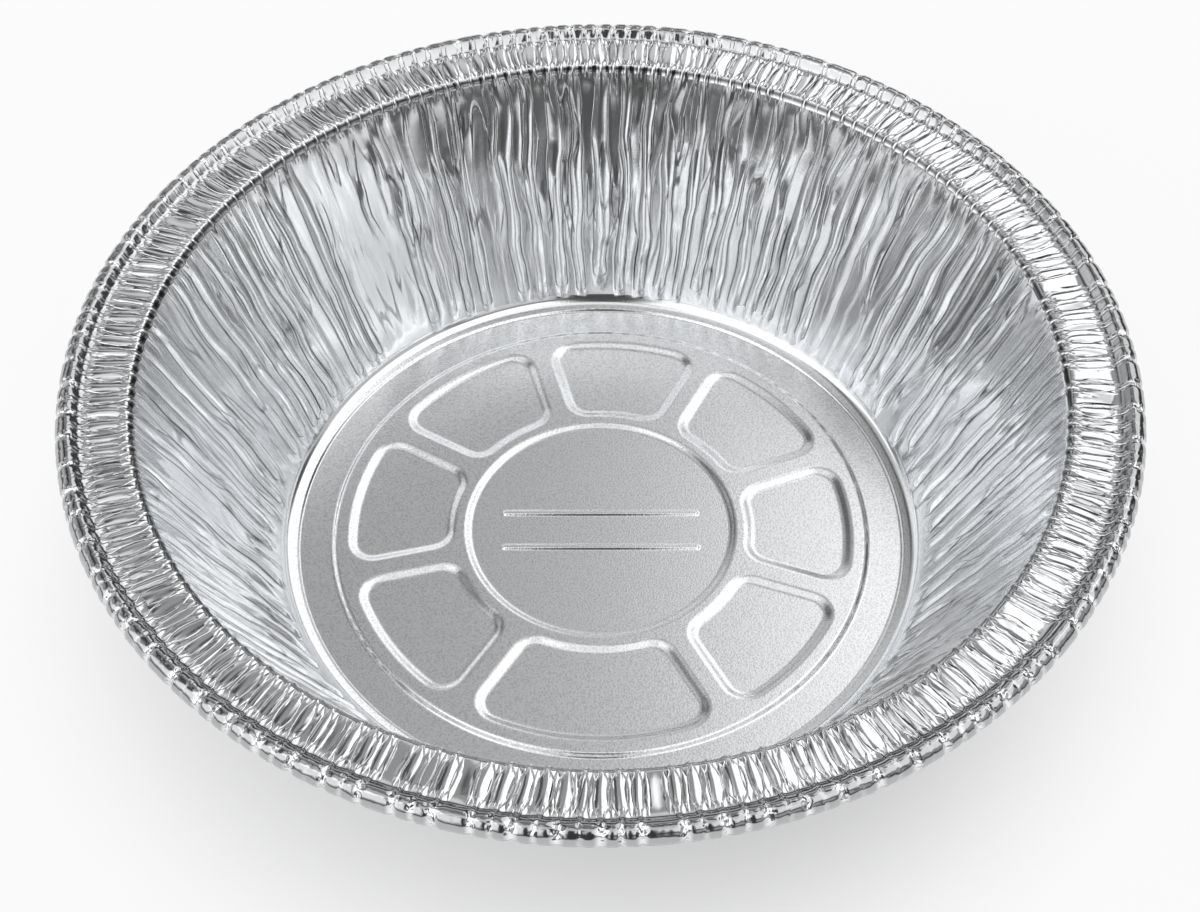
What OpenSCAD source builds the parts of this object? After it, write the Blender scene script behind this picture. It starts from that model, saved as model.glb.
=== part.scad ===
// Foil pie tin: one sheet of aluminium foil pressed into a round dish.
// From the middle out it has a sunk disc with two straight ribs, eight sunk panels between raised
// spokes, a flat ring that it stands on, a pleated sloping wall, a pleated flat flange and a
// rolled, crimped bead.

/* [Tin] */
// Outside diameter over the rolled bead
rim_d = 178; // [160:0.5:200]
// Height of the flange above the surface that the tin stands on
depth = 44; // [30:0.5:60]
// Diameter of the floor, up to the foot of the wall
floor_d = 110.4; // [108:0.2:124]
// Thickness of the foil
foil_t = 0.1; // [0.08:0.01:0.15]

/* [Middle disc] */
// Diameter of the sunk disc at its upper edge
disc_d = 49.7; // [36:0.1:51]
// Width of the slope round the disc
disc_slope = 1.4; // [0.8:0.1:2]
// How far the disc is sunk below the spokes
disc_drop = 0.45; // [0.3:0.05:0.55]

/* [Disc ribs] */
// Distance between the centre lines of the two straight ribs of the disc
rib_gap = 7.8; // [5:0.1:12]
// Place of the middle of the pair along Y, from the tin's axis
rib_shift = -0.8; // [-2:0.1:2]
// Flat left between a rib's end and the slope round the disc
rib_end_gap = 4.9; // [3:0.1:9]
// Width of a rib at its foot
rib_w = 1.5; // [1:0.1:2.4]
// Width of a rib's flat top
rib_top_w = 0.5; // [0.2:0.1:0.8]
// Height of a rib
rib_h = 0.3; // [0.1:0.05:0.4]

/* [Panels] */
// Direction of the first spoke, in degrees
pattern_turn = -61.5; // [-90:0.5:90]
// Angle of the widest of the eight panels, the last one round from the first spoke
wide_panel = 61; // [45:1:72]
// Height of the spokes above the standing ring
spoke_h = 0.6; // [0.5:0.05:0.9]
// Width of the flat top of a spoke
spoke_w = 2.8; // [2:0.1:3.6]
// How far a panel is sunk below the spokes
panel_drop = 0.5; // [0.3:0.05:0.5]
// Width of the slope round a panel
panel_slope = 1.9; // [1.2:0.1:2.2]
// Corner radius of a panel's flat bottom
panel_corner = 2.8; // [1.5:0.1:3.2]
// Radius of the panels' upper edge nearest the disc
panel_in_r = 26.2; // [25.8:0.1:28]
// Radius of the panels' upper edge nearest the wall
panel_out_r = 46; // [42:0.1:46.4]

/* [Standing ring] */
// Radius at which the raised floor begins to slope down to the standing ring
ring_in_r = 47.9; // [47:0.1:48.6]
// Width of that slope
ring_slope = 1.1; // [0.8:0.1:1.6]
// Width of the small step between the standing ring and the foot of the wall
step_w = 0.9; // [0.6:0.1:1.2]
// Height of the small step
step_h = 0.35; // [0.2:0.05:0.5]

/* [Wall] */
// Length of the curve between the floor and the wall, along each of them
foot_run = 2.4; // [1.5:0.1:4]
// Number of pleats round the wall
pleats = 96; // [72, 96, 120]
// Depth of a pleat from crest to valley
pleat_depth = 1; // [0.4:0.1:1.4]
// Depth of the slightest pleat, as a share of the deepest
pleat_least = 0.45; // [0.3:0.05:1]
// Longest smooth stretch between the curve at the foot and a pleat's rounded end
pleat_gap = 3.2; // [2:0.1:4]
// Shortest such stretch, as a share of the longest
gap_least = 0.4; // [0.2:0.05:1]
// How far a crest wanders to each side, as a share of the pitch of the columns
pleat_sway = 0.2; // [0:0.05:0.2]

/* [Rim] */
// Width and height of the rounded corner between the wall and the flange
corner_run = 1.1; // [0.8:0.1:1.6]
// Width of the flat flange
flange_w = 7.2; // [5:0.1:9]
// Depth of the flange's pleats from crest to valley
flange_pleat = 0.6; // [0.2:0.1:0.8]
// Depth of the slightest pleat of the flange, as a share of the deepest
flange_least = 0.1; // [0:0.05:1]
// Width of the narrow step between the flange and the bead
rim_step_w = 1.35; // [0.8:0.05:1.8]
// Radius of the rolled bead
bead_r = 1.9; // [1.4:0.1:2.4]
// Height of the bead's top above the flange
bead_rise = 1.7; // [1:0.1:2]
// Depth of the crimps pressed into the bead
crimp_depth = 0.3; // [0.1:0.05:0.4]
// Depth of the slightest crimp, as a share of the deepest
crimp_least = 0.2; // [0:0.05:1]

/* [Hidden] */

// Columns: the floor, the foot and the bead have one a pleat, the wall and the flange two
cols = pleats;
fine_cols = 2 * cols;
disc_cols = cols / 2;

// Angles from spoke to spoke: the narrow panels share what the wide one leaves, by these weights
function total(list, n) = n == 0 ? 0 : list[n - 1] + total(list, n - 1);
narrow_panels = [42, 41, 41, 43, 44, 44, 44];
narrow_share = (360 - wide_panel) / total(narrow_panels, len(narrow_panels));
sectors = concat(narrow_share * narrow_panels, [wide_panel]);
spokes = [for (s = [0:len(sectors)]) total(sectors, s)];
spoke_cols = [for (a = spokes) round(a * cols / 360)];

// Seeds that fix the irregular pleats and crimps
depth_seed = 7;
jitter_seed = 23;
sway_seed = 41;
end_seed = 59;
flange_seed = 83;
crimp_seed = 97;

// Heights and radii worked out from the sizes above
rim_r = rim_d / 2;
floor_r = floor_d / 2;
bead_c = [rim_r - bead_r, depth + bead_rise - bead_r];
bead_start = 120;
bead_turn = 240;
bead_strips = 6;
flange_out = bead_c[0] + bead_r * cos(bead_start) - rim_step_w;
flange_in = flange_out - flange_w;
wall_top = [flange_in - corner_run, depth - corner_run];
wall_foot = [floor_r + foot_run, step_h];
wall_vec = wall_top - wall_foot;
wall_up = wall_vec / norm(wall_vec);
wall_draft = atan2(wall_up[0], wall_up[1]);
foot_end = wall_foot + foot_run * wall_up;
pleat_len = norm(wall_top - foot_end);
panel_z = spoke_h - panel_drop;
disc_z = spoke_h - disc_drop;
disc_r = disc_d / 2 - disc_slope;

// Random values for each column, the same each time
pleat_scale = rands(pleat_least, 1, fine_cols, depth_seed);
jitter = rands(-pleat_sway, pleat_sway, fine_cols, jitter_seed);
pleat_ends = rands(gap_least, 1, fine_cols, end_seed);
flange_scale = rands(flange_least, 1, fine_cols, flange_seed);
crimps = rands(crimp_least, 1, cols, crimp_seed);

// A point at radius r, angle a and height z
function polar(r, a, z) = [r * cos(a), r * sin(a), z];

// A smooth ring of n points
function plain_ring(r, z, n) =
    [for (i = [0:n - 1]) polar(r, pattern_turn + 360 * i / n, z)];

// Straight ribs pressed up in the disc, parallel to X. A loop round a rib has end_pts points at
// each end, the right end first, and a rib has one loop at its foot and one round its top.
end_pts = 5;
loop_pts = 2 * end_pts;
rib_pts = 2 * loop_pts;
right_tip = (end_pts - 1) / 2;
left_tip = right_tip + end_pts;
rib_y = [rib_shift + rib_gap / 2, rib_shift - rib_gap / 2];
rib_far = max([for (y = rib_y) abs(y)]);
rib_half = sqrt(disc_r ^ 2 - rib_far ^ 2) - rib_end_gap;

function rib_loop(y, w, z) =
    [for (end = [1, -1], k = [0:end_pts - 1])
        let (a = 180 * k / (end_pts - 1) - 90 * end)
        [end * (rib_half - rib_w / 2) + w / 2 * cos(a), y + w / 2 * sin(a), z]];
ribs = [for (y = rib_y)
    each concat(rib_loop(y, rib_w, disc_z), rib_loop(y, rib_top_w, disc_z + rib_h))];

// Columns of one sector of the panels. Column 0 runs up the middle of a spoke, 1 along its edge,
// 2 along the foot of its slope and 3 through the centre of a panel's corner arc.
// rank is 0 for the ring through the corner centres, 1 for the foot of the edge slope and 2 for
// its top; out is 1 at the edge nearest the wall and -1 at the edge nearest the disc.
corner_top = panel_corner + panel_slope;
corner_side = spoke_w / 2 + corner_top;
corner_turns = [[0, 0, 90], [22.5, 45, 90], [45, 67.5, 90]];
corner_radii = [[corner_top, panel_corner, 0], [corner_top, panel_corner, panel_corner],
                [corner_top, corner_top, corner_top]];

function corner_pt(rc, out, rank, k) =
    let (turn = corner_turns[rank][k - 1], arc = corner_radii[rank][k - 1],
         r = rc + out * arc * sin(turn))
    [r, asin((corner_side - arc * cos(turn)) / r)];

// Column k of a sector with n columns as [radius, angle from its first spoke]
function sector_pt(r, rc, out, rank, k, n, sector) =
    k == 0 ? [r, 0]
    : k <= 3 ? corner_pt(rc, out, rank, k)
    : k >= n - 3 ? let (p = corner_pt(rc, out, rank, n - k)) [p[0], sector - p[1]]
    : let (a = corner_pt(rc, out, rank, 3)[1], t = (k - 3) / (n - 6))
      [r, a + (sector - 2 * a) * t];

function panel_ring(r, rc, out, rank) =
    [for (s = [0:len(sectors) - 1])
        let (n = spoke_cols[s + 1] - spoke_cols[s])
        for (k = [0:n - 1])
            let (p = sector_pt(r, rc, out, rank, k, n, sectors[s]),
                 sunk = rank < 2 && k >= 2 && k <= n - 2)
            polar(p[0], pattern_turn + spokes[s] + p[1], sunk ? panel_z : spoke_h)];

// Rings of the raised floor: the disc, the panels and the edge of the standing ring
in_centre = panel_in_r + corner_top;
out_centre = panel_out_r - corner_top;
floor_rings = [
    plain_ring(disc_r, disc_z, disc_cols),
    plain_ring(disc_d / 2, spoke_h, disc_cols),
    panel_ring(panel_in_r, in_centre, -1, 2),
    panel_ring(panel_in_r + panel_slope, in_centre, -1, 1),
    panel_ring(in_centre, in_centre, -1, 0),
    panel_ring(out_centre, out_centre, 1, 0),
    panel_ring(panel_out_r - panel_slope, out_centre, 1, 1),
    panel_ring(panel_out_r, out_centre, 1, 2),
    plain_ring(ring_in_r, spoke_h, cols),
    plain_ring(ring_in_r + ring_slope, 0, cols),
    plain_ring(floor_r - step_w, 0, cols),
    plain_ring(floor_r, step_h, cols)
];

// Curve between the floor and the wall, as two short strips
function foot_pt(t) =
    let (edge = [floor_r, step_h])
    edge * (1 - t) ^ 2 + wall_foot * 2 * t * (1 - t) + foot_end * t ^ 2;
foot_rings = [for (t = [0.5, 1]) plain_ring(foot_pt(t)[0], foot_pt(t)[1], cols)];

// Columns of the wall and the flange stand out on one side and in on the other by turns
function side(i) = i % 2 == 0 ? 1 : -1;
function column_turn(i, sway) =
    pattern_turn + (i + jitter[i] + sway[i]) * 360 / fine_cols;

// A pleated ring of the wall: share is how far up the pleats it lies, from 0 to 1
function wall_ring(share, level) =
    let (sway = rands(-pleat_sway, pleat_sway, fine_cols, sway_seed + level))
    [for (i = [0:fine_cols - 1])
        let (along = level == 0 ? pleat_gap * pleat_ends[i] : pleat_len * share,
             out = side(i) * pleat_scale[i] * pleat_depth / 2,
             p = foot_end + along * wall_up + out * [wall_up[1], -wall_up[0]])
        polar(p[0], column_turn(i, sway), p[1])];

// A pleated ring of the corner or the flange, which rises and falls
function flange_ring(r, z, level) =
    let (sway = rands(-pleat_sway, pleat_sway, fine_cols, sway_seed + level))
    [for (i = [0:fine_cols - 1])
        polar(r, column_turn(i, sway), z - side(i) * flange_scale[i] * flange_pleat / 2)];

wall_shares = [0, 0.5, 1];
wall_rings = [for (level = [0:len(wall_shares) - 1]) wall_ring(wall_shares[level], level)];
flange_rings = [flange_ring(flange_in, depth, len(wall_shares)),
                flange_ring(flange_out, depth, len(wall_shares) + 1)];

// The bead rolls over and back under itself; a crimp presses every other column in
function bead_angle(i) = bead_start - bead_turn * i / bead_strips;
bead_rings = [for (b = [0:bead_strips])
    [for (i = [0:cols - 1])
        let (press = crimp_depth * crimps[i] * (i % 2),
             p = bead_c + (bead_r - press) * [cos(bead_angle(b)), sin(bead_angle(b))])
        polar(p[0], pattern_turn + 360 * i / cols, p[1])]];

upper = concat(floor_rings, foot_rings, wall_rings, flange_rings, bead_rings);

// Direction from the upper face to the underside at each ring, as an angle above the horizontal
down = -90;
foot_under = (down - wall_draft) / 2;
step_under = (down + bead_start - 180) / 2;
under_turn = concat(
    [for (r = floor_rings) down],
    [foot_under, -wall_draft],
    [for (r = wall_rings) -wall_draft],
    [foot_under, step_under],
    [for (b = [0:bead_strips]) bead_angle(b) + 180]
);

// A point of the upper face moved through the foil to the underside
function through(p, turn) =
    let (a = atan2(p[1], p[0]))
    p + foil_t * [cos(turn) * cos(a), cos(turn) * sin(a), sin(turn)];
under = [for (i = [0:len(upper) - 1]) [for (p = upper[i]) through(p, under_turn[i])]];

// Strip of triangles between ring a, whose points start at index ia, and the next ring b, at ib.
// Where one ring has twice the columns of the other, three triangles span each wide column.
function strip(na, nb, ia, ib) =
    na == nb ? [for (j = [0:na - 1]) let (k = (j + 1) % na)
        each [[ia + j, ia + k, ib + k], [ia + j, ib + k, ib + j]]]
    : na < nb ? [for (j = [0:na - 1]) let (k = (j + 1) % na, m = 2 * j + 1)
        each [[ia + j, ia + k, ib + m], [ia + j, ib + m, ib + m - 1],
              [ia + k, ib + 2 * k, ib + m]]]
    : [for (j = [0:nb - 1]) let (k = (j + 1) % nb, m = 2 * j + 1)
        each [[ia + m - 1, ia + m, ib + j], [ia + m, ib + k, ib + j],
              [ia + m, ia + 2 * k, ib + k]]];

// Index of each ring's first point
function starts(rings, first, i = 0) =
    i == len(rings) ? [] : concat([first], starts(rings, first + len(rings[i]), i + 1));
function flip(faces) = [for (f = faces) [for (k = [len(f) - 1:-1:0]) f[k]]];

// Flat of the disc: one face above the two ribs, one between them and one below. They share the
// lines from the tips of the ribs to the nearest points of the disc's ring.
function ring_column(a) = round((a - pattern_turn) * disc_cols / 360);
right_cols = [for (y = rib_y) ring_column(asin(y / disc_r))];
left_cols = [for (y = rib_y) ring_column(180 - asin(y / disc_r))];

function disc_arc(ring, from, to) = [for (i = [from:to]) ring + (i + disc_cols) % disc_cols];
function upper_edge(rib) = [for (k = [left_tip:-1:right_tip]) rib + k];
function lower_edge(rib) =
    [for (k = [right_tip:-1:left_tip - loop_pts]) rib + (k + loop_pts) % loop_pts];

function disc_faces(first, ring) =
    let (rib = [first, first + rib_pts])
    concat(
        flip([
            concat(disc_arc(ring, right_cols[0], left_cols[0]), upper_edge(rib[0])),
            concat(upper_edge(rib[1]), disc_arc(ring, right_cols[1], right_cols[0]),
                   lower_edge(rib[0]), disc_arc(ring, left_cols[0], left_cols[1])),
            concat(disc_arc(ring, left_cols[1], right_cols[1] + disc_cols), lower_edge(rib[1]))
        ]),
        flip([for (r = rib) [for (k = [0:loop_pts - 1]) r + loop_pts + k]]),
        [for (r = rib) each strip(loop_pts, loop_pts, r + loop_pts, r)]
    );

// Faces of one side of the foil, from the disc to its last ring
function side_faces(rings, first) =
    let (at = starts(rings, first + len(ribs)))
    concat(
        disc_faces(first, at[0]),
        [for (i = [0:len(rings) - 2])
            each strip(len(rings[i]), len(rings[i + 1]), at[i], at[i + 1])]
    );

module pie_tin() {
    upper_pts = concat(ribs, [for (r = upper) each r]);
    under_pts = concat([for (p = ribs) through(p, down)], [for (r = under) each r]);
    count = len(upper_pts);
    edge = strip(cols, cols, count - cols, 2 * count - cols);
    color([0.82, 0.83, 0.84])
        translate([0, 0, foil_t])
            polyhedron(
                points = concat(upper_pts, under_pts),
                faces = concat(side_faces(upper, 0), flip(side_faces(under, count)), edge)
            );
}

pie_tin();
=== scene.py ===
import math
import bmesh
import bpy
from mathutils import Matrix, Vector


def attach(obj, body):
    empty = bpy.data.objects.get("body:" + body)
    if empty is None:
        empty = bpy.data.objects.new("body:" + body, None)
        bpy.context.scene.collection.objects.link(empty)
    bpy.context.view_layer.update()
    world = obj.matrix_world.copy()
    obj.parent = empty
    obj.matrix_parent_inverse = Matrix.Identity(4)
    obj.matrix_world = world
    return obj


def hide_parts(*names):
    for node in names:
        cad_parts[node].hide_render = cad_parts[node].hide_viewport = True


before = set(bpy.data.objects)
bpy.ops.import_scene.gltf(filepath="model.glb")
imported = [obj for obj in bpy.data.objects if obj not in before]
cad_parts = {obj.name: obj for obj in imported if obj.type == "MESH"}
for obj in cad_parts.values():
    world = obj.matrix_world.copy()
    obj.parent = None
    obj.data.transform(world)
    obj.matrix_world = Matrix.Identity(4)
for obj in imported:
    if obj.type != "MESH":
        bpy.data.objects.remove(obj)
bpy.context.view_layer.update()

mm = 0.001

# Sizes of the pressed foil, in millimetres; heights are of the upper face above the floor's ring
tin = {
    "rimRadius": 88.9,
    "depth": 44.0,
    "foil": 0.1,
    "floorRadius": 55.2,
    "footRun": 1.9,
    "cornerRun": 1.1,
    "flangeWidth": 7.2,
    "rimStep": 1.35,
    "stepPull": (0.9, 0.1),  # how the step to the bead curves, out and up from the flange
    "beadRadius": 1.88,
    "beadRise": 1.66,
    "beadStart": 120.0,      # degrees, where the foil joins the bead
    "beadTurn": 240.0,
    "stepWidth": 0.6,
    "stepHeight": 0.35,
    "ringRadius": 47.9,      # where the raised floor drops to the standing ring
    "ringSlope": 1.1,
    "ridges": 96,
    "columns": (-0.5, -0.36, -0.27, -0.19, -0.10,  # as shares of the pitch
                0.0, 0.10, 0.19, 0.27, 0.36),
    "rows": {"floorStep": 4, "foot": 4, "wall": 18, "corner": 3, "flange": 5, "step": 2, "bead": 8},
}

# The pattern pressed into the floor
pressing = {
    "firstSpoke": -61.5,     # degrees
    "panels": (42, 41, 41, 43, 44, 44, 44, 61),
    "height": 0.6,
    "panelDrop": 0.5,
    "slope": 1.9,
    "corner": 2.8,
    "spokeWidth": 2.8,
    "innerRadius": 26.2,
    "outerRadius": 46.0,
    "discRadius": 24.85,
    "discSlope": 1.4,
    "discDrop": 0.45,
    "shoulder": 0.22,        # flat margin that keeps an edge crisp
    "ribLength": 36.1,
    "ribWidth": 1.5,
    "ribTop": 0.5,
    "ribRise": 0.3,
    "ribShoulder": 0.08,
    "ribY": (3.1, -4.7),
    "ribSteps": 4,
    "discColumns": 144,
    "slopeSteps": 5,
    "arcSteps": 6,           # of a panel's corner and of a rib's end
    "edgeSteps": 8,          # of half a panel's inner or outer edge
    "sideSteps": 7,
}


def ease(t):
    return t * t * (3 - 2 * t)


def between(a, b, t):
    return a + (b - a) * t


# Rows of the foil's section from the raised floor out to the end of the bead, as (radius, height)
def bend(start, pull, end, steps):
    rows = []
    for i in range(1, steps + 1):
        t = i / steps
        rows.append(tuple(a * (1 - t) ** 2 + 2 * p * t * (1 - t) + b * t * t
                          for a, p, b in zip(start, pull, end)))
    return rows


def slopeRows(start, end, steps):
    return [(between(start[0], end[0], i / steps), between(start[1], end[1], ease(i / steps)))
            for i in range(1, steps + 1)]


def lineRows(start, end, steps):
    return [(between(start[0], end[0], i / steps), between(start[1], end[1], i / steps))
            for i in range(1, steps + 1)]


def sectionRows():
    s = tin
    p = pressing
    steps = s["rows"]
    floorEdge = (s["floorRadius"], s["stepHeight"])
    stepIn = (s["floorRadius"] - s["stepWidth"], 0.0)
    ringEdge = (s["ringRadius"] + s["ringSlope"], 0.0)
    beadMid = (s["rimRadius"] - s["beadRadius"], s["depth"] + s["beadRise"] - s["beadRadius"])
    beadAt = [math.radians(s["beadStart"] - s["beadTurn"] * i / steps["bead"])
              for i in range(steps["bead"] + 1)]
    bead = [(beadMid[0] + s["beadRadius"] * math.cos(a), beadMid[1] + s["beadRadius"] * math.sin(a))
            for a in beadAt]
    flangeOut = (bead[0][0] - s["rimStep"], s["depth"])
    flangeIn = (flangeOut[0] - s["flangeWidth"], s["depth"])
    wallTop = (flangeIn[0] - s["cornerRun"], s["depth"] - s["cornerRun"])
    wallFoot = (s["floorRadius"] + s["footRun"], s["stepHeight"])
    rise = (Vector(wallTop) - Vector(wallFoot)).normalized()
    footEnd = tuple(Vector(wallFoot) + s["footRun"] * rise)
    cornerPull = (wallTop[0] + (s["depth"] - wallTop[1]) * rise[0] / rise[1], s["depth"])
    stepPull = (flangeOut[0] + s["stepPull"][0], s["depth"] + s["stepPull"][1])

    floor = [(s["ringRadius"] - p["shoulder"], p["height"]), (s["ringRadius"], p["height"])]
    floor += slopeRows(floor[-1], ringEdge, p["slopeSteps"])
    floor += [(ringEdge[0] + p["shoulder"], 0.0), (stepIn[0] - p["shoulder"], 0.0), stepIn]
    floor += slopeRows(stepIn, floorEdge, steps["floorStep"])
    parts = {
        "foot": bend(floorEdge, wallFoot, footEnd, steps["foot"]),
        "wall": lineRows(footEnd, wallTop, steps["wall"]),
        "corner": bend(wallTop, cornerPull, flangeIn, steps["corner"]),
        "flange": lineRows(flangeIn, flangeOut, steps["flange"]),
        "step": bend(flangeOut, stepPull, bead[0], steps["step"]),
        "bead": bead[1:],
    }
    return floor, parts


# The pressed foil, still without its pleats
class Sheet:
    def __init__(self):
        self.mesh = bmesh.new()
        self.turn = self.mesh.verts.layers.float_vector.new("turn")
        self.run = self.mesh.verts.layers.float.new("run")

    def point(self, x, y, z, run=-1.0):
        v = self.mesh.verts.new((x * mm, y * mm, (z + tin["foil"]) * mm))
        reach = math.hypot(x, y)
        v[self.turn] = (x / reach, y / reach, reach)
        v[self.run] = run
        return v

    def ring(self, radius, height, turns, run=-1.0):
        return [self.point(radius * math.sin(a), radius * math.cos(a), height, run) for a in turns]

    def strip(self, inner, outer):
        n = len(inner)
        if len(outer) == n:
            for i in range(n):
                j = (i + 1) % n
                self.mesh.faces.new((inner[i], outer[i], outer[j], inner[j]))
            return
        for i in range(n):  # three outer columns to one inner column
            j = (i + 1) % n
            a, b, c, d = (outer[(3 * i + k) % len(outer)] for k in range(4))
            self.mesh.faces.new((inner[i], a, b))
            self.mesh.faces.new((inner[i], b, c, inner[j]))
            self.mesh.faces.new((inner[j], c, d))

    def rings(self, loops):
        for inner, outer in zip(loops, loops[1:]):
            self.strip(inner, outer)
        return loops

    def fill(self, outer, *holes):
        edges = []
        for loop in (outer, *holes):
            for a, b in zip(loop, loop[1:] + loop[:1]):
                edges.append(self.mesh.edges.get((a, b)) or self.mesh.edges.new((a, b)))
        bmesh.ops.triangle_fill(self.mesh, use_beauty=True, edges=edges)


# Outline of one panel, inset from its upper edge, as points of the floor
def panelOutline(inset, sector):
    p = pressing
    radius = p["corner"] + p["slope"]
    side = p["spokeWidth"] / 2 + radius
    wedge = math.radians(p["panels"][sector])
    arcSteps, edgeSteps, sideSteps = p["arcSteps"], p["edgeSteps"], p["sideSteps"]
    half = []
    for edge, out in ((p["innerRadius"] + radius, -1), (p["outerRadius"] - radius, 1)):
        lean = math.asin(side / edge)
        centre = Vector((edge * math.cos(lean), side))
        sweep = math.pi / 2 + out * lean
        first = -math.pi / 2
        arc = [centre + (radius - inset) * Vector((math.cos(first + out * sweep * t / arcSteps),
                                                   math.sin(first + out * sweep * t / arcSteps)))
               for t in range(arcSteps + 1)]
        edgeRadius = arc[-1].length
        start = math.atan2(arc[-1].y, arc[-1].x)
        across = [Vector((edgeRadius * math.cos(a), edgeRadius * math.sin(a)))
                  for a in (between(start, wedge / 2, t / edgeSteps) for t in range(1, edgeSteps))]
        half.append(arc + across)
    inner, outer = half
    straight = [between(inner[0], outer[0], t / sideSteps) for t in range(1, sideSteps)]
    line = inner[::-1] + straight + outer           # from mid inner edge round to mid outer edge
    mirror = [Vector((q.x * math.cos(wedge) + q.y * math.sin(wedge),
                      q.x * math.sin(wedge) - q.y * math.cos(wedge))) for q in line[::-1]]
    turn = math.radians(p["firstSpoke"] + sum(p["panels"][:sector]))
    c, s = math.cos(turn), math.sin(turn)
    return [(q.x * c - q.y * s, q.x * s + q.y * c) for q in line + mirror]


def ribOutline(inset, y):
    p = pressing
    r = p["ribWidth"] / 2 - inset
    x = p["ribLength"] / 2 - p["ribWidth"] / 2
    steps = p["arcSteps"]
    return [(sign * x + r * math.cos(a), y + r * math.sin(a))
            for sign, first in ((1, -90), (-1, 90))
            for a in (math.radians(first + 180 * t / steps) for t in range(steps + 1))]


def pressPanels(sheet):
    p = pressing
    steps = p["slopeSteps"]
    panelZ = p["height"] - p["panelDrop"]
    insets = [(-p["shoulder"], p["height"])]
    insets += [(p["slope"] * i / steps, between(p["height"], panelZ, ease(i / steps)))
               for i in range(steps + 1)]
    insets.append((p["slope"] + p["shoulder"], panelZ))
    edges = []
    for sector in range(len(p["panels"])):
        loops = sheet.rings([[sheet.point(x, y, z) for x, y in panelOutline(inset, sector)]
                             for inset, z in insets])
        sheet.fill(loops[-1])
        edges.append(loops[0])
    return edges


def pressDisc(sheet):
    p = pressing
    discZ = p["height"] - p["discDrop"]
    rows = [(p["discRadius"] - p["discSlope"] - p["shoulder"], discZ)]
    rows += [(p["discRadius"] - p["discSlope"], discZ)]
    rows += slopeRows(rows[-1], (p["discRadius"], p["height"]), p["slopeSteps"])
    rows += [(p["discRadius"] + p["shoulder"], p["height"])]
    turns = [2 * math.pi * i / p["discColumns"] for i in range(p["discColumns"])]
    disc = sheet.rings([sheet.ring(r, z, turns) for r, z in rows])
    slope = (p["ribWidth"] - p["ribTop"]) / 2
    shares = [i / p["ribSteps"] for i in range(p["ribSteps"] + 1)]
    levels = [(-p["shoulder"], 0.0)]
    levels += [(slope * share, p["ribRise"] * ease(share)) for share in shares]
    levels += [(slope + p["ribShoulder"], p["ribRise"])]
    ribs = []
    for y in p["ribY"]:
        loops = sheet.rings([[sheet.point(px, py, discZ + rise) for px, py in ribOutline(inset, y)]
                             for inset, rise in levels])
        sheet.fill(loops[-1])
        ribs.append(loops[0])
    sheet.fill(disc[0], *ribs)
    return disc[-1]


def makeSheet():
    sheet = Sheet()
    floor, parts = sectionRows()
    pitch = 2 * math.pi / tin["ridges"]
    turns = [(k + offset) * pitch for k in range(tin["ridges"]) for offset in tin["columns"]]
    panelEdges = pressPanels(sheet)
    discEdge = pressDisc(sheet)
    loops = sheet.rings([sheet.ring(r, z, turns[::3]) for r, z in floor])
    sheet.fill(loops[0], discEdge, *panelEdges)
    for v in loops[-1]:
        v[sheet.run] = 0.0
    rows = [sheet.ring(r, z, turns, run) for (r, z), run in zip(allRows(parts), wallRuns(parts))]
    sheet.rings([loops[-1]] + rows)
    bmesh.ops.remove_doubles(sheet.mesh, verts=sheet.mesh.verts, dist=1e-6)
    bmesh.ops.recalc_face_normals(sheet.mesh, faces=sheet.mesh.faces)
    top = max(sheet.mesh.faces, key=lambda f: f.calc_center_median().z)
    if top.normal.z < 0:
        bmesh.ops.reverse_faces(sheet.mesh, faces=sheet.mesh.faces)
    data = bpy.data.meshes.new("foilSheet")
    sheet.mesh.to_mesh(data)
    sheet.mesh.free()
    made = bpy.data.objects.new("pressed_foil", data)
    bpy.context.scene.collection.objects.link(made)
    return made


def allRows(parts):
    return sum(parts.values(), [])


# How far each row lies along the foil from the floor's edge, in mm
def wallRuns(parts):
    last = Vector((tin["floorRadius"], tin["stepHeight"]))
    runs = [0.0]
    for row in allRows(parts):
        runs.append(runs[-1] + (Vector(row) - last).length)
        last = Vector(row)
    return runs[1:]


# Where each part of the section ends, as such a distance
def sectionMarks():
    parts = sectionRows()[1]
    runs = wallRuns(parts)
    marks = {}
    count = 0
    for name, rows in parts.items():
        count += len(rows)
        marks[name] = runs[count - 1]
    return marks


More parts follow.
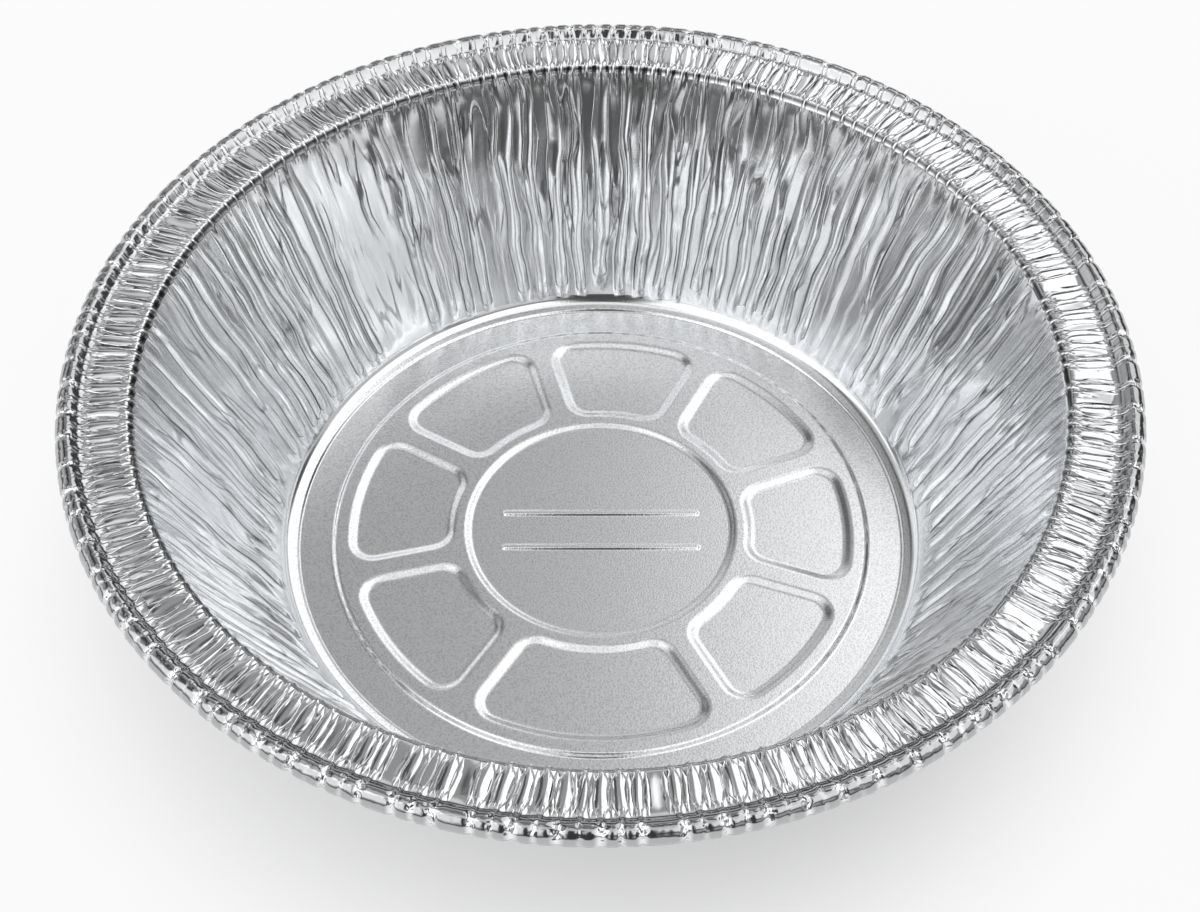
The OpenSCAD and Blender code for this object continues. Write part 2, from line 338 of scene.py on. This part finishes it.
# A socket that maths can be written with: each operator adds its node
class Wire:
    def __init__(self, tree, socket=None):
        self.tree = tree
        self.socket = socket

    def node(self, kind, settings=None, inputs=None, output=0):
        made = self.tree.nodes.new(kind)
        for name, value in (settings or {}).items():
            setattr(made, name, value)
        for name, value in (inputs or {}).items():
            if isinstance(value, Wire):
                self.tree.links.new(value.socket, made.inputs[name])
            else:
                made.inputs[name].default_value = value
        return Wire(self.tree, made.outputs[output] if made.outputs else None)

    def outputs(self):
        return [Wire(self.tree, socket) for socket in self.socket.node.outputs]

    def maths(self, operation, *values):
        return self.node("ShaderNodeMath", {"operation": operation}, dict(enumerate(values)))

    def __add__(self, other):
        return self.maths("ADD", self, other)

    def __sub__(self, other):
        return self.maths("SUBTRACT", self, other)

    def __rsub__(self, other):
        return self.maths("SUBTRACT", other, self)

    def __mul__(self, other):
        return self.maths("MULTIPLY", self, other)

    def __truediv__(self, other):
        return self.maths("DIVIDE", self, other)

    __radd__ = __add__
    __rmul__ = __mul__

    def __abs__(self):
        return self.maths("ABSOLUTE", self)

    def atLeast(self, least):
        return self.maths("MAXIMUM", self, least)

    def root(self):
        return self.maths("SQRT", self)

    def smooth(self, low, high):
        return self.node("ShaderNodeMapRange", {"interpolation_type": "SMOOTHSTEP"},
                         {"Value": self, "From Min": low, "From Max": high})

    def parts(self):
        return self.node("ShaderNodeSeparateXYZ", None, {0: self}).outputs()

    def place(self, x, y, z=0.0):
        return self.node("ShaderNodeCombineXYZ", None, {0: x, 1: y, 2: z})

    def length(self):
        return self.node("ShaderNodeVectorMath", {"operation": "LENGTH"}, {0: self}, "Value")

    def chance(self, first, second):
        return self.node("ShaderNodeTexWhiteNoise", {"noise_dimensions": "2D"},
                         {"Vector": self.place(first, second)}, "Color")

    def noise(self, at, scale=1.0, detail=1.0):
        return self.node("ShaderNodeTexNoise", {"noise_dimensions": "3D"},
                         {"Vector": at, "Scale": scale, "Detail": detail})


# How the gathered foil folds: ridges run up the wall, over the flange and into the bead. Heights
# and widths are in mm, and a width is from a ridge's crest to its foot. A pair of two limits says
# between which values something fades in.
folds = {
    "depth": 1.0,            # share of all the heights
    "seed": 3.0,
    "gapSeed": 10.0,         # for what lies between two ridges
    # the wall
    "ridge": 0.80,           # near the floor; it falls to the share below at the top
    "ridgeTop": 0.55,
    "ridgeHighest": 8.0,     # run along the foil up to which a ridge keeps its height
    "ridgeLow": 4.0,         # run below the wall's top at which it has fallen
    "ridgeWidth": 1.15,
    "ridgeWidths": (0.75, 0.5),    # least share of that width, and how much more it can be
    "ridgeLeast": 0.6,       # lowest ridge, as a share of the highest
    "ridgeDrawn": (0.12, 0.22),    # a chance below this leaves the ridge out
    "ridgeFade": (0.24, 0.42),     # and so does its fading noise
    "between": 0.29,         # slighter ridges between the main ones
    "betweenWidth": 0.7,
    "betweenWidths": (0.7, 0.7),
    "betweenFade": (0.48, 0.58),
    "forkFrom": (9.0, 15.0),       # run at which a slight ridge joins a main one, and its range
    "forkLength": 12.0,      # over which it leans there
    "forkDrawn": (0.25, 0.35),
    "forkSide": (0.45, 0.55),
    "facet": 0.17,           # swell of the foil between two ridges
    "facetRange": 3.0,
    "facetFade": (-1.0, 3.0),      # run from the ridge's start over which it grows
    "start": 4.8,            # shortest smooth stretch above the floor's edge
    "ragged": 4.6,           # how much longer that stretch can be
    # the sway of the ridges
    "sway": 1.6,             # how far a bundle of ridges wanders
    "ownSway": 1.5,          # how far a ridge wanders by itself
    "swayFade": (1.0, 16.0),       # run over which it grows
    "swayRim": (-3.0, 1.0),        # round the corner it falls by the share below
    "swayLoss": 0.2,
    # the rim
    "rimDrawn": (-0.05, 0.06),
    "gapRimDrawn": (0.08, 0.3),
    "knot": 0.34,            # what is left of a ridge where it crosses a corner
    "knotWidths": (0.55, 0.5),     # of a main fold and of one between two
    "flangeRidge": 0.36,
    "flangeFacet": 0.27,
    "lensLeast": 0.05,       # square of the narrowest end of a fold on the flange
    "crimp": 0.34,
    "crimpLeast": 0.3,
    "gapCrimpWidth": 0.7,
    # how far before and after the end of a part it fades into the next
    "fades": {"wall": (-1.4, 0.3), "corner": (-0.5, 0.7),
              "flange": (-0.9, 0.0), "step": (-0.4, 0.4)},
    # scales of the noises, across the ridges and along them per mm
    "fadeNoise": (3.7, 0.05),
    "betweenNoise": (2.9, 0.07),
    "swellNoise": (17.0, 0.05),
    "swayNoise": (6.0, 0.04),
    "ownNoise": (9.5, 0.08),
    "ownShift": 5.0,
    "wornNoise": (9.0, 0.08),
    "worn": (0.42, 0.58),    # where a thin crease shows
    "fineNoise": (2.6, 0.16),
    "longNoise": (1.4, 0.045),
    "fineSeed": 1.0,
    "longSeed": 4.0,
    "slopeUpright": (0.90, 0.985),  # upright share of the normal, from a drawn slope to flat foil
}

# Vector attributes that carry the folds from the shape to the finish, with what each holds
carried = {
    "fold": ("strength", "start", "width"),
    "gap": ("slight", "gapWidth", "worn"),
    "rim": ("rim", "gapRim", "knot"),
    "drawn": ("slope", "fork"),
    "wander": ("long", "fine"),
    "near": ("off", "gapOff", "gapWall"),
    "lens": ("mainLens", "gapLens", "lens"),
    "share": ("wall", "flange", "bead"),
}


# Where a point lies among the ridges, from the turn and the run that the sheet carries
def ridgePlace(wire, turn, run):
    x, y, reach = turn.parts()
    perRadian = tin["ridges"] / (2 * math.pi)
    across = wire.maths("ARCTAN2", x, y) * perRadian
    nearest = wire.maths("ROUND", across)
    pitch = reach * (2 * math.pi / tin["ridges"])
    aside = abs(across - nearest)
    facet = across - wire.maths("FLOOR", across)
    return {"x": x, "y": y, "run": run, "across": across, "nearest": nearest, "gap": across - facet,
            "off": aside * pitch, "gapOff": (0.5 - aside) * pitch, "facet": facet, "pitch": pitch}


# Noise that changes round the tin and along the foil
def roundNoise(wire, at, scales, shift=0.0, detail=1.0):
    around, along = scales
    spot = wire.place(at["x"] * around, at["y"] * around, at["run"] * along + shift)
    return wire.noise(spot, detail=detail)


# Noise that changes from ridge to ridge and along each
def lineNoise(wire, at, line, scales, seed):
    across, along = scales
    return wire.noise(wire.place(at[line] * across, at["run"] * along, seed))


# A chance from 0 to 1, brought to a range from the least share up to 1
def spread(chance, least):
    return chance * (1 - least) + least


# Irregularity of the folds: how strong each ridge is along its length and where it starts
def foldNoise(wire, at):
    f = folds
    own, size, rimOwn = wire.chance(at["nearest"], f["seed"]).parts()
    gapOwn, gapSize, gapRim = wire.chance(at["gap"], f["gapSeed"]).parts()
    fade = lineNoise(wire, at, "nearest", f["fadeNoise"], f["seed"]).smooth(*f["ridgeFade"])
    least, more = f["ridgeWidths"]
    gapLeast, gapMore = f["betweenWidths"]
    side = gapOwn.smooth(*f["forkSide"]) - 0.5       # half a pitch to one side or the other
    join = gapSize * f["forkFrom"][1] + f["forkFrom"][0]
    apart = 1 - (at["run"] - join).smooth(0.0, f["forkLength"])
    slight = lineNoise(wire, at, "gap", f["betweenNoise"], f["seed"])
    fork = side * apart * gapRim.smooth(*f["forkDrawn"])
    return {
        "strength": spread(own, f["ridgeLeast"]) * own.smooth(*f["ridgeDrawn"]) * fade,
        "start": size * size * f["ragged"] + f["start"],
        "width": size * more + least,
        "swell": (roundNoise(wire, at, f["swellNoise"]) - 0.5) * f["facetRange"],
        "slight": slight.smooth(*f["betweenFade"]),
        "gapWidth": gapSize * gapMore + gapLeast,
        "rim": rimOwn.smooth(*f["rimDrawn"]) * spread(rimOwn, f["ridgeLeast"]),
        "gapRim": gapRim.smooth(*f["gapRimDrawn"]),
        "knot": gapOwn,
        "fork": fork,
        "gapWall": abs(at["facet"] - 0.5 - fork) * at["pitch"],  # off a slight ridge that leans
    }


def ridge(distance, width):
    return 1 - (distance / width).smooth(0.0, 1.0)


def tube(distance, width):
    share = distance / width
    return (1 - share * share).atLeast(0.0)


def diagonal(aside, along):
    return (aside * aside + along * along).root()


# The same shape on the main folds of the rim and on those between them
def onRim(at, shape, widths):
    return shape(at["off"], widths[0]) * at["rim"] + shape(at["gapOff"], widths[1]) * at["gapRim"]


# Half width of a fold on the flange, which is shaped like a lens
def lensWidth(run, marks):
    share = (run - marks["corner"]) / (marks["flange"] - marks["corner"])
    return (share * (1 - share) * 4).atLeast(folds["lensLeast"]).root()


# Rises from 0 to 1 where a part of the section ends
def passed(run, marks, part):
    before, after = folds["fades"][part]
    return run.smooth(marks[part] + before, marks[part] + after)


# Share of each part of the section at a point, fading from one to the next
def sectionShares(run, marks):
    wallEnd, cornerEnd, flangeEnd, stepEnd = (
        passed(run, marks, part) for part in ("wall", "corner", "flange", "step"))
    return {"wall": 1 - wallEnd, "corner": wallEnd * (1 - cornerEnd) + flangeEnd * (1 - stepEnd),
            "flange": cornerEnd * (1 - flangeEnd), "bead": stepEnd}


def foldHeight(at, marks):
    f = folds
    run, off, gapOff = at["run"], at["off"], at["gapOff"]
    tip = (at["start"] - run).atLeast(0.0)           # rounds the lower end of a ridge
    wave = run.maths("SINE", at["facet"] * (2 * math.pi)) * at["swell"]
    main = tube(diagonal(off, tip), at["width"] * f["ridgeWidth"]) * at["strength"]
    slight = tube(diagonal(at["gapWall"], tip), at["gapWidth"] * f["betweenWidth"]) * at["slight"]
    fall = run.smooth(f["ridgeHighest"], marks["wall"] - f["ridgeLow"]) * (1 - f["ridgeTop"])
    onWall = (main * (1 - fall) * f["ridge"]).atLeast(slight * f["between"])
    onWall = onWall + wave * (run - at["start"]).smooth(*f["facetFade"]) * f["facet"]
    onFlange = onRim(at, tube, (at["mainLens"], at["gapLens"])) * f["flangeRidge"]
    onFlange = onFlange + wave * f["flangeFacet"]
    onCorner = onRim(at, ridge, f["knotWidths"]) * f["knot"]
    onBead = (ridge(off, at["width"]) * spread(at["rim"], f["crimpLeast"])
              + ridge(gapOff, f["gapCrimpWidth"]) * at["gapRim"] * at["knot"]) * -f["crimp"]
    return (onWall * at["wall"] + onCorner * at["corner"] + onFlange * at["flange"]
            + onBead * at["bead"])


def foldTree(marks, material):
    f = folds
    tree = bpy.data.node_groups.new("foldTheFoil", "GeometryNodeTree")
    tree.interface.new_socket("Geometry", in_out="INPUT", socket_type="NodeSocketGeometry")
    for name in ("Fold depth", "Sway", "Own sway"):
        tree.interface.new_socket(name, in_out="INPUT", socket_type="NodeSocketFloat")
    tree.interface.new_socket("Geometry", in_out="OUTPUT", socket_type="NodeSocketGeometry")
    wire = Wire(tree)
    foil, depth, bundle, own = wire.node("NodeGroupInput").outputs()[:4]
    turn, run = (wire.node("GeometryNodeInputNamedAttribute", {"data_type": kind}, {"Name": name})
                 for name, kind in (("turn", "FLOAT_VECTOR"), ("run", "FLOAT")))
    normal = wire.node("GeometryNodeInputNormal")
    x, y, z = wire.node("GeometryNodeInputPosition").parts()

    at = ridgePlace(wire, turn, run)                 # everything known about a point of the foil
    at.update(foldNoise(wire, at))
    at.update(sectionShares(run, marks))
    at["lens"] = lensWidth(run, marks)
    at["mainLens"] = at["lens"] * at["width"]
    at["gapLens"] = at["lens"] * at["gapWidth"]
    at["worn"] = roundNoise(wire, at, f["wornNoise"]).smooth(*f["worn"])
    at["fine"] = lineNoise(wire, at, "across", f["fineNoise"], f["fineSeed"])
    at["long"] = lineNoise(wire, at, "across", f["longNoise"], f["longSeed"])
    at["slope"] = 1 - abs(normal.parts()[2]).smooth(*f["slopeUpright"])

    height = foldHeight(at, marks) * depth * mm
    lift = wire.node("ShaderNodeVectorMath", {"operation": "SCALE"}, {0: normal, "Scale": height})
    wide = roundNoise(wire, at, f["swayNoise"]) - 0.5
    narrow = roundNoise(wire, at, f["ownNoise"], f["ownShift"], 2.0) - 0.5
    rimStart, rimEnd = (marks["corner"] + offset for offset in f["swayRim"])
    reach = run.smooth(*f["swayFade"]) * (1 - run.smooth(rimStart, rimEnd) * f["swayLoss"])
    swing = (wide * 2 * bundle + narrow * 2 * own) * reach * mm / wire.place(x, y).length()
    c = wire.maths("COSINE", swing)
    s = wire.maths("SINE", swing)
    moved = wire.place(x * c - y * s, x * s + y * c, z)
    goal = wire.node("ShaderNodeVectorMath", {"operation": "ADD"}, {0: moved, 1: lift})
    kept = wire.node("GeometryNodeSetPosition", None, {"Geometry": foil, "Position": goal})
    for name, held in carried.items():
        fields = wire.place(*(at[key] for key in held))
        kept = wire.node("GeometryNodeStoreNamedAttribute",
                         {"data_type": "FLOAT_VECTOR", "domain": "POINT"},
                         {"Geometry": kept, "Name": name, "Value": fields})
    real = wire.node("GeometryNodeRealizeInstances", None, {"Geometry": kept})
    coated = wire.node("GeometryNodeSetMaterial", None, {"Geometry": real, "Material": material})
    wire.node("NodeGroupOutput", None, {0: coated})
    return tree


# The finish of the foil, with the shade painted into its colour; lengths in mm
finishAndPaintedShade = {
    "tone": (0.905, 0.916, 0.93, 1.0),
    "paintedShade": (0.12, 0.122, 0.127, 1.0),  # painted shade: the dark tone that creases and other shaded places are darkened towards
    "floorRough": 0.25,
    "wallRough": 0.11,
    "slopeRough": 0.15,      # the drawn slopes of the floor are brighter than its flat parts
    "floorEnd": 3.0,         # run over which the floor's finish fades into the wall's
    # the grain, from the fine orange peel of the floor to crumples on the bead
    "grainSize": 0.30,
    "crumpleSize": 0.85,
    "grainRun": (2.0, 40.0),
    "grainRise": 0.011,
    "grainLeft": 0.2,        # share of its rise that is left off the floor
    # the sharp crease along each side of a ridge
    "groove": 0.11,
    "grooveWidth": 0.17,
    "cornerGrooves": (0.4, 0.35),   # how far it lies from a knot's crest
    "tipFade": (0.2, 1.0),   # shares of the ridge's width, beyond its tip
    "tipLoss": 0.7,
    "forkLoss": 1.6,         # how soon the crease of a slight ridge fades as it leans aside
    "raised": 0.5,           # share of its height at which a ridge counts as raised
    # wrinkles and thin creases that wander up the wall
    "wrinkle": 0.02,
    "wrinkleRun": (3.0, 8.0),
    "crease": 0.05,
    "creaseWidth": 0.035,    # share of the noise that they follow
    "creaseRun": (6.0, 11.0),
    # the rim
    "extraFold": 0.20,       # small folds between the ones that the flange's shape has
    "extraWidth": 0.6,
    "extraDrawn": (0.36, 0.6),
    "extraLeast": 0.25,
    "seam": 0.12,            # crease between the wall and the flange
    "seamWidth": 1.0,
    "seamKnots": (0.45, 0.4),      # half widths of the knots that interrupt it
    "ripple": 0.6,           # gathers of a crimp on the bead
    "rippleWidths": (1.3, 0.8),
    "ripplePlain": 0.06,     # share that is left clear of a crimp
    "plainWidths": (1.1, 0.7),     # half widths of the crimps, which are left out of the bead's painted shade
    "stepBand": (-0.3, 0.2),       # run from the flange's end over which the step's painted shade starts
    # how far the tone falls towards the painted shade tone; all of it is painted shade but the
    # grain's, which is a random tone
    "wallShade": 0.69,
    "flangeShade": 0.24,
    "creaseShade": 0.4,
    "beadShade": 0.57,
    "stepShade": 0.4,
    "flatShade": 0.10,       # painted shade all over the flange
    "valleyShade": 0.13,     # painted shade between the ridges of the wall
    "valleyRun": (4.0, 9.0),       # run over which it starts
    "valleyTop": (22.0, 44.0),     # run over which it fades
    "valleyLow": 1.2,        # share low on the wall, which falls by 1 to the top
    "grainShade": 0.18,
    "grainDark": (0.45, 0.7),
    "slopeShade": 0.18,
}


# Sharp crease at a distance from a crest
def edge(distance, reach):
    return ridge(abs(distance - reach), finishAndPaintedShade["grooveWidth"])


# Share of a point of the bead that lies on a crimp, by the main folds and by those between them
def crimps(at, widths):
    return ridge(at["off"], widths[0]), ridge(at["gapOff"], widths[1]) * at["gapRim"] * at["knot"]


# The lines that folds leave in the foil, each from 0 to 1
def foilLines(at, marks):
    f = finishAndPaintedShade
    run, strength = at["run"], at["strength"]
    tip = (at["start"] - run).atLeast(0.0)
    crest = diagonal(at["off"], tip)
    width = at["width"] * folds["ridgeWidth"]
    gapWidth = at["gapWidth"] * folds["betweenWidth"]
    gapEdge = edge(diagonal(at["gapWall"], tip), gapWidth)
    apart = 1 - abs(at["fork"]) * f["forkLoss"]
    along = edge(crest, width) * strength + apart * at["slight"] * gapEdge
    seam = ridge(abs(run - (marks["wall"] + marks["corner"]) / 2), f["seamWidth"])
    knots = onRim(at, ridge, f["seamKnots"])
    thin = ridge(abs(at["long"] - 0.5), f["creaseWidth"]) * run.smooth(*f["creaseRun"])
    return {
        "raised": (tube(crest, width) * strength).smooth(0.0, f["raised"]),
        "wallEdge": along * (1 - (tip / width).smooth(*f["tipFade"]) * f["tipLoss"]),
        "flangeEdge": onRim(at, edge, (at["mainLens"], at["gapLens"])),
        "cornerEdge": onRim(at, edge, f["cornerGrooves"]),
        "crease": thin * at["worn"] * (at["wall"] + at["flange"]),
        "seam": seam * (1 - knots.maths("MINIMUM", knots, 1.0)),
    }


# Height of the fine relief
def foilRelief(at, marks, lines, grain):
    f = finishAndPaintedShade
    run = at["run"]
    corner = passed(run, marks, "wall") * (1 - at["flange"] - at["bead"])
    groove = (lines["wallEdge"] * at["wall"] + lines["cornerEdge"] * corner
              + lines["flangeEdge"] * at["flange"])
    wrinkle = (at["fine"] - 0.5) * run.smooth(*f["wrinkleRun"]) * f["wrinkle"]
    crimp, gapCrimp = crimps(at, f["rippleWidths"])
    gather = (grain - 0.5) * (crimp + gapCrimp + f["ripplePlain"]) * at["bead"]
    quarter = tube(abs(at["off"] - at["gapOff"]) * 0.5, at["lens"] * f["extraWidth"])
    extra = quarter * spread(at["fine"].smooth(*f["extraDrawn"]), f["extraLeast"]) * at["flange"]
    relief = wrinkle - groove * f["groove"] - lines["crease"] * f["crease"]
    relief = relief + gather * f["ripple"] + extra * f["extraFold"] - lines["seam"] * f["seam"]
    return relief + grain * f["grainRise"] * spread(at["onFloor"], f["grainLeft"])


# How far the tone falls towards the painted shade tone: painted shade, and on the floor a random
# grain tone
def foilShade(at, marks, lines, grain):
    f = finishAndPaintedShade
    run = at["run"]
    # Painted shade: the bead is darkened outside its crimps
    crimp, gapCrimp = crimps(at, f["plainWidths"])
    plainBead = at["bead"] * (1 - crimp) * (1 - gapCrimp)
    # Painted shade on the step between the flange and the bead
    bandStart, bandEnd = (marks["flange"] + offset for offset in f["stepBand"])
    stepBand = run.smooth(bandStart, bandEnd) * (1 - at["bead"])
    # Painted shade in the valleys between the wall's ridges, which the raised ridges are left out
    # of
    lower = run.smooth(*f["valleyRun"]) * (f["valleyLow"] - run.smooth(*f["valleyTop"]))
    valley = (1 - lines["raised"]) * lower * at["wall"]
    # Painted shade in the creases beside each ridge, along the flange's folds, along thin creases
    # and in the seam between wall and flange
    shade = lines["wallEdge"] * at["wall"] * f["wallShade"]
    shade = shade + lines["flangeEdge"] * at["flange"] * f["flangeShade"] + lines["seam"]
    shade = shade + lines["crease"] * f["creaseShade"] + plainBead * f["beadShade"]
    # Painted shade on the step and all over the flange
    shade = shade + stepBand * f["stepShade"] + at["flange"] * f["flatShade"]
    shade = shade + valley * f["valleyShade"]
    # A random grain tone, and painted shade on the floor's drawn slopes
    onFloor = grain.smooth(*f["grainDark"]) * f["grainShade"] + at["slope"] * f["slopeShade"]
    return shade + onFloor * at["onFloor"]


def foilMaterial(marks):
    f = finishAndPaintedShade
    material = bpy.data.materials.new("rolledFoil")
    material.use_nodes = True
    material.node_tree.nodes.clear()
    wire = Wire(material.node_tree)
    run = wire.node("ShaderNodeAttribute", {"attribute_name": "run"}, output="Fac")
    at = {"run": run, "onFloor": 1 - run.smooth(0.0, f["floorEnd"])}
    for name, held in carried.items():
        stored = wire.node("ShaderNodeAttribute", {"attribute_name": name}, output="Vector")
        at.update(zip(held, stored.parts()))
    spot = wire.node("ShaderNodeTexCoord", output="Object")
    fineness = 1 / f["crumpleSize"] - 1 / f["grainSize"]
    scale = (run.smooth(*f["grainRun"]) * fineness + 1 / f["grainSize"]) / mm
    grain = wire.noise(spot, scale, 0.0)
    lines = foilLines(at, marks)
    relief = foilRelief(at, marks, lines, grain)
    bump = wire.node("ShaderNodeBump", None, {"Strength": 1.0, "Distance": mm, "Height": relief})
    # Painted shade: the base colour is darkened towards the painted shade tone where shade falls
    dark = wire.node("ShaderNodeClamp", None, {"Value": foilShade(at, marks, lines, grain)})
    tone = wire.node("ShaderNodeMix", {"data_type": "RGBA"},
                     {0: dark, 6: f["tone"], 7: f["paintedShade"]}, 2)
    satin = f["floorRough"] - at["slope"] * (f["floorRough"] - f["slopeRough"])
    rough = at["onFloor"] * (satin - f["wallRough"]) + f["wallRough"]
    foil = wire.node("ShaderNodeBsdfPrincipled", None, {
        "Base Color": tone, "Metallic": 1.0, "Roughness": rough, "Normal": bump})
    wire.node("ShaderNodeOutputMaterial", None, {"Surface": foil})
    return material


def makeTin():
    marks = sectionMarks()
    material = foilMaterial(marks)
    blank = makeSheet()
    blank.data.materials.append(material)
    print("foil pressed", len(blank.data.polygons), "faces")
    tree = foldTree(marks, material)
    fold = blank.modifiers.new("fold", "NODES")
    fold.node_group = tree
    sockets = {item.name: item.identifier for item in tree.interface.items_tree
               if item.in_out == "INPUT"}
    for name, key in (("Fold depth", "depth"), ("Sway", "sway"), ("Own sway", "ownSway")):
        fold[sockets[name]] = folds[key]
    thick = blank.modifiers.new("thickness", "SOLIDIFY")
    thick.thickness = tin["foil"] * mm
    thick.offset = -1.0
    seen = bpy.context.evaluated_depsgraph_get()
    shaped = bpy.data.meshes.new_from_object(blank.evaluated_get(seen))
    piece = bpy.data.objects.new("folded_tin", shaped)
    bpy.context.scene.collection.objects.link(piece)
    bpy.data.objects.remove(blank)
    shaped.polygons.foreach_set("use_smooth", [True] * len(shaped.polygons))
    shaped.update()
    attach(piece, "root")
    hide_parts("pie_tin")
    triangles = sum(len(face.vertices) - 2 for face in shaped.polygons)
    print("foil folded", triangles, "triangles")


# Camera of the photograph: it looks along +Y and down at the tin
shot = {
    "distance": 341.6,       # mm to the point looked at
    "elevation": 50.14,
    "aim": (-0.1, 0.0, 20.35),
    "lens": 58.68,
    "sensor": 36.0,
}


def makeCamera():
    data = bpy.data.cameras.new("camera")
    data.lens = shot["lens"]
    data.sensor_width = shot["sensor"]
    camera = bpy.data.objects.new("camera", data)
    tip = math.radians(shot["elevation"])
    aim = Vector(shot["aim"]) * mm
    camera.location = aim + shot["distance"] * mm * Vector((0, -math.cos(tip), math.sin(tip)))
    camera.rotation_euler = (math.pi / 2 - tip, 0, 0)
    bpy.context.scene.collection.objects.link(camera)
    bpy.context.scene.camera = camera
    print("camera placed")


# Soft studio light: panels far away, each given in degrees by its azimuth and elevation, how far
# it reaches to each side and up and down, and how soft its edge is; the last number is its level
studio = {
    "panels": {
        "keyLeft": (-122, 50, 38, 24, 20, 1.45),
        "keyBack": (28, 46, 21, 20, 9, 1.20),
        "fillBack": (-11, 50, 15, 28, 10, 0.26),
        "frontRight": (150, 24, 17, 10, 12, 0.52),
        "frontLeft": (-148, 22, 19, 9, 12, 0.52),
        "lowBack": (-42, 24, 20, 11, 10, 0.40),
        "flangeBack": (-4, 35, 16, 7, 8, 0.35),
        "leftBack": (-66, 36, 22, 14, 14, 0.45),
        "rightHigh": (103, 61, 61, 17, 14, 1.36),
        "leftLow": (-98, 22, 32, 9, 8, 0.80),
        "rightLow": (98, 32, 30, 16, 10, 0.44),
        "top": (0, 90, 180, 12, 8, 0.88),
        "topLeft": (-70, 70, 48, 9, 10, 0.75),
    },
    "white": (1.0, 1.0, 1.0, 1.0),
    "room": 0.07,
    "horizon": 0.85,         # pale sweep behind the table
    "horizonEdge": (2.0, 8.0),
    "matt": (0.9, 0.9, 0.9, 1.0),  # tone of the table where the tin's shadow shows
    "table": 0.86,           # share of its own glow in the white table
    "shadowPoolGlow": 0.30,       # the same beneath the tin, lower: a painted shadow round it, where the larger matt share also shows its real shadow
    # radii, in metres, over which the painted shadow fades out
    "shadowPoolRadius": (0.062, 0.108),
    "tableRadius": 1.6,
    "tableSides": 96,
    "tableDrop": 0.00005,    # keeps it clear of the foil that stands on it
}


def makeLight():
    world = bpy.data.worlds.new("studio")
    bpy.context.scene.world = world
    world.use_nodes = True
    world.node_tree.nodes.clear()
    wire = Wire(world.node_tree)
    x, y, z = wire.node("ShaderNodeTexCoord", output="Generated").parts()
    turn = wire.maths("ARCTAN2", x, y) * math.degrees(1)
    height = wire.maths("ARCSINE", z) * math.degrees(1)
    sweep = 1 - height.smooth(*studio["horizonEdge"])
    level = sweep * (studio["horizon"] - studio["room"]) + studio["room"]
    for azimuth, rise, wide, tall, soft, strength in studio["panels"].values():
        aside = abs(wire.maths("WRAP", turn - azimuth, 180.0, -180.0))
        above = abs(height - rise)
        inWidth = 1 - aside.smooth(wide - soft / 2, wide + soft / 2)
        inHeight = 1 - above.smooth(tall - soft / 2, tall + soft / 2)
        level = level + inWidth * inHeight * strength
    shade = wire.node("ShaderNodeBackground", None, {"Color": studio["white"], "Strength": level})
    wire.node("ShaderNodeOutputWorld", None, {"Surface": shade})
    world.cycles.sampling_method = "NONE"     # the foil's own reflections find the panels
    print("studio lit by", len(studio["panels"]), "panels")


def makeFloor():
    mesh = bmesh.new()
    bmesh.ops.create_circle(mesh, cap_ends=True, segments=studio["tableSides"],
                            radius=studio["tableRadius"])
    bmesh.ops.translate(mesh, verts=mesh.verts, vec=(0, 0, -studio["tableDrop"]))
    data = bpy.data.meshes.new("table")
    mesh.to_mesh(data)
    mesh.free()
    table = bpy.data.objects.new("table", data)
    bpy.context.scene.collection.objects.link(table)
    material = bpy.data.materials.new("whiteTable")
    material.use_nodes = True
    material.cycles.emission_sampling = "NONE"
    material.node_tree.nodes.clear()
    wire = Wire(material.node_tree)
    # Painted shadow: near the tin the table glows less, so it is darker there even when unlit; its
    # matt share also shows the tin's real shadow
    away = wire.node("ShaderNodeTexCoord", output="Object").length()
    near = studio["shadowPoolGlow"]
    share = away.smooth(*studio["shadowPoolRadius"]) * (studio["table"] - near) + near
    matt = wire.node("ShaderNodeBsdfDiffuse", None, {"Color": studio["matt"]})
    glow = wire.node("ShaderNodeEmission", None, {"Color": studio["white"], "Strength": 1.0})
    mixed = wire.node("ShaderNodeMixShader", None, {0: share, 1: matt, 2: glow})
    wire.node("ShaderNodeOutputMaterial", None, {"Surface": mixed})
    data.materials.append(material)
    print("table laid")


view = bpy.context.scene.view_settings
view.view_transform = "Standard"
makeCamera()
makeTin()
makeLight()
makeFloor()
print("scene ready")
